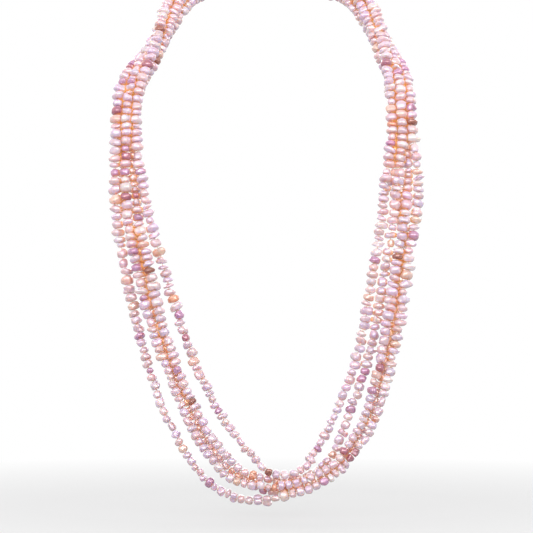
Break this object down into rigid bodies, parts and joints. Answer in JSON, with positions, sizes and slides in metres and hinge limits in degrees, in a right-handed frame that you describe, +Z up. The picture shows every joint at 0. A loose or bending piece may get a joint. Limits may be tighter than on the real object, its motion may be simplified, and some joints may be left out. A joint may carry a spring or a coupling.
{
  "type": "pearl necklace",
  "caption": "Long multi-strand necklace of small baroque freshwater pearls, worn drape, strands gathered into end cones with a magnetic clasp at the nape.",
  "frame": {"origin": "middle of the neck opening, level with the place where the strands lie on the sides of the neck", "axes": "+Z up, -Y the way the wearer faces, +X to the right in a front view"},
  "size_m": [0.151, 0.1277, 0.2683],
  "materials": {
    "nacre_1": "pearl nacre, pale rose with lavender, peach and rose pearls among them, satin lustre",
    "nacre_2": "pearl nacre, peach with lavender, peach and rose pearls among them, satin lustre",
    "nacre_3": "pearl nacre, pale lavender with lavender, peach and rose pearls among them, satin lustre",
    "nacre_4": "pearl nacre, cream with lavender, peach and rose pearls among them, satin lustre",
    "nacre_5": "pearl nacre, mauve pink with lavender, peach and rose pearls among them, satin lustre",
    "silver": "polished silver",
    "magnet": "nickel-plated magnet face",
    "silk": "twisted cream silk thread"
  },
  "bodies": {
    "collar": {"strand_1_left_shoulder": "nacre_1", "strand_1_right_shoulder": "nacre_1", "strand_2_left_shoulder": "nacre_2", "strand_2_right_shoulder": "nacre_2", "strand_3_left_shoulder": "nacre_3", "strand_3_right_shoulder": "nacre_3", "strand_4_left_shoulder": "nacre_4", "strand_4_right_shoulder": "nacre_4", "strand_5_left_shoulder": "nacre_5", "strand_5_right_shoulder": "nacre_5"},
    "chest": {"strand_1_left_chest": "nacre_1", "strand_1_right_chest": "nacre_1", "strand_2_left_chest": "nacre_2", "strand_2_right_chest": "nacre_2", "strand_3_left_chest": "nacre_3", "strand_3_right_chest": "nacre_3", "strand_4_left_chest": "nacre_4", "strand_4_right_chest": "nacre_4", "strand_5_left_chest": "nacre_5", "strand_5_right_chest": "nacre_5"},
    "drop": {"strand_1_drop": "nacre_1", "strand_2_drop": "nacre_2", "strand_3_drop": "nacre_3", "strand_4_drop": "nacre_4", "strand_5_drop": "nacre_5"},
    "left_tail": {"strand_1_left_tail": "nacre_1", "strand_2_left_tail": "nacre_2", "strand_3_left_tail": "nacre_3", "strand_4_left_tail": "nacre_4", "strand_5_left_tail": "nacre_5", "left_end_cone": "silver", "left_eye_pin": "silver", "left_thread_knot": "silk", "left_jump_ring": "silver", "left_clasp_cup": "silver", "left_clasp_magnet": "magnet"},
    "right_tail": {"strand_1_right_tail": "nacre_1", "strand_2_right_tail": "nacre_2", "strand_3_right_tail": "nacre_3", "strand_4_right_tail": "nacre_4", "strand_5_right_tail": "nacre_5", "right_end_cone": "silver", "right_eye_pin": "silver", "right_thread_knot": "silk", "right_jump_ring": "silver", "right_clasp_cup": "silver", "right_clasp_magnet": "magnet"}
  },
  "joints": [
    {"name": "chest_swing", "type": "hinge", "parent": "collar", "child": "chest", "pos_m": [0, -0.038, -0.065], "axis": [-1, 0, 0], "range_deg": [0, 18]},
    {"name": "drop_swing", "type": "hinge", "parent": "chest", "child": "drop", "pos_m": [0, -0.0465, -0.104], "axis": [-1, 0, 0], "range_deg": [0, 18]},
    {"name": "left_tail_swing", "type": "hinge", "parent": "collar", "child": "left_tail", "pos_m": [-0.0492, 0.0222, 0.0169], "axis": [-0.3391, -0.5271, 0.7792], "range_deg": [0, 50]},
    {"name": "right_tail_swing", "type": "hinge", "parent": "collar", "child": "right_tail", "pos_m": [0.0515, 0.0222, 0.018], "axis": [-0.335, 0.521, -0.785], "range_deg": [0, 50]}
  ],
  "couplings": [
    {"joint": "drop_swing", "follows": "chest_swing", "ratio": 1}
  ]
}
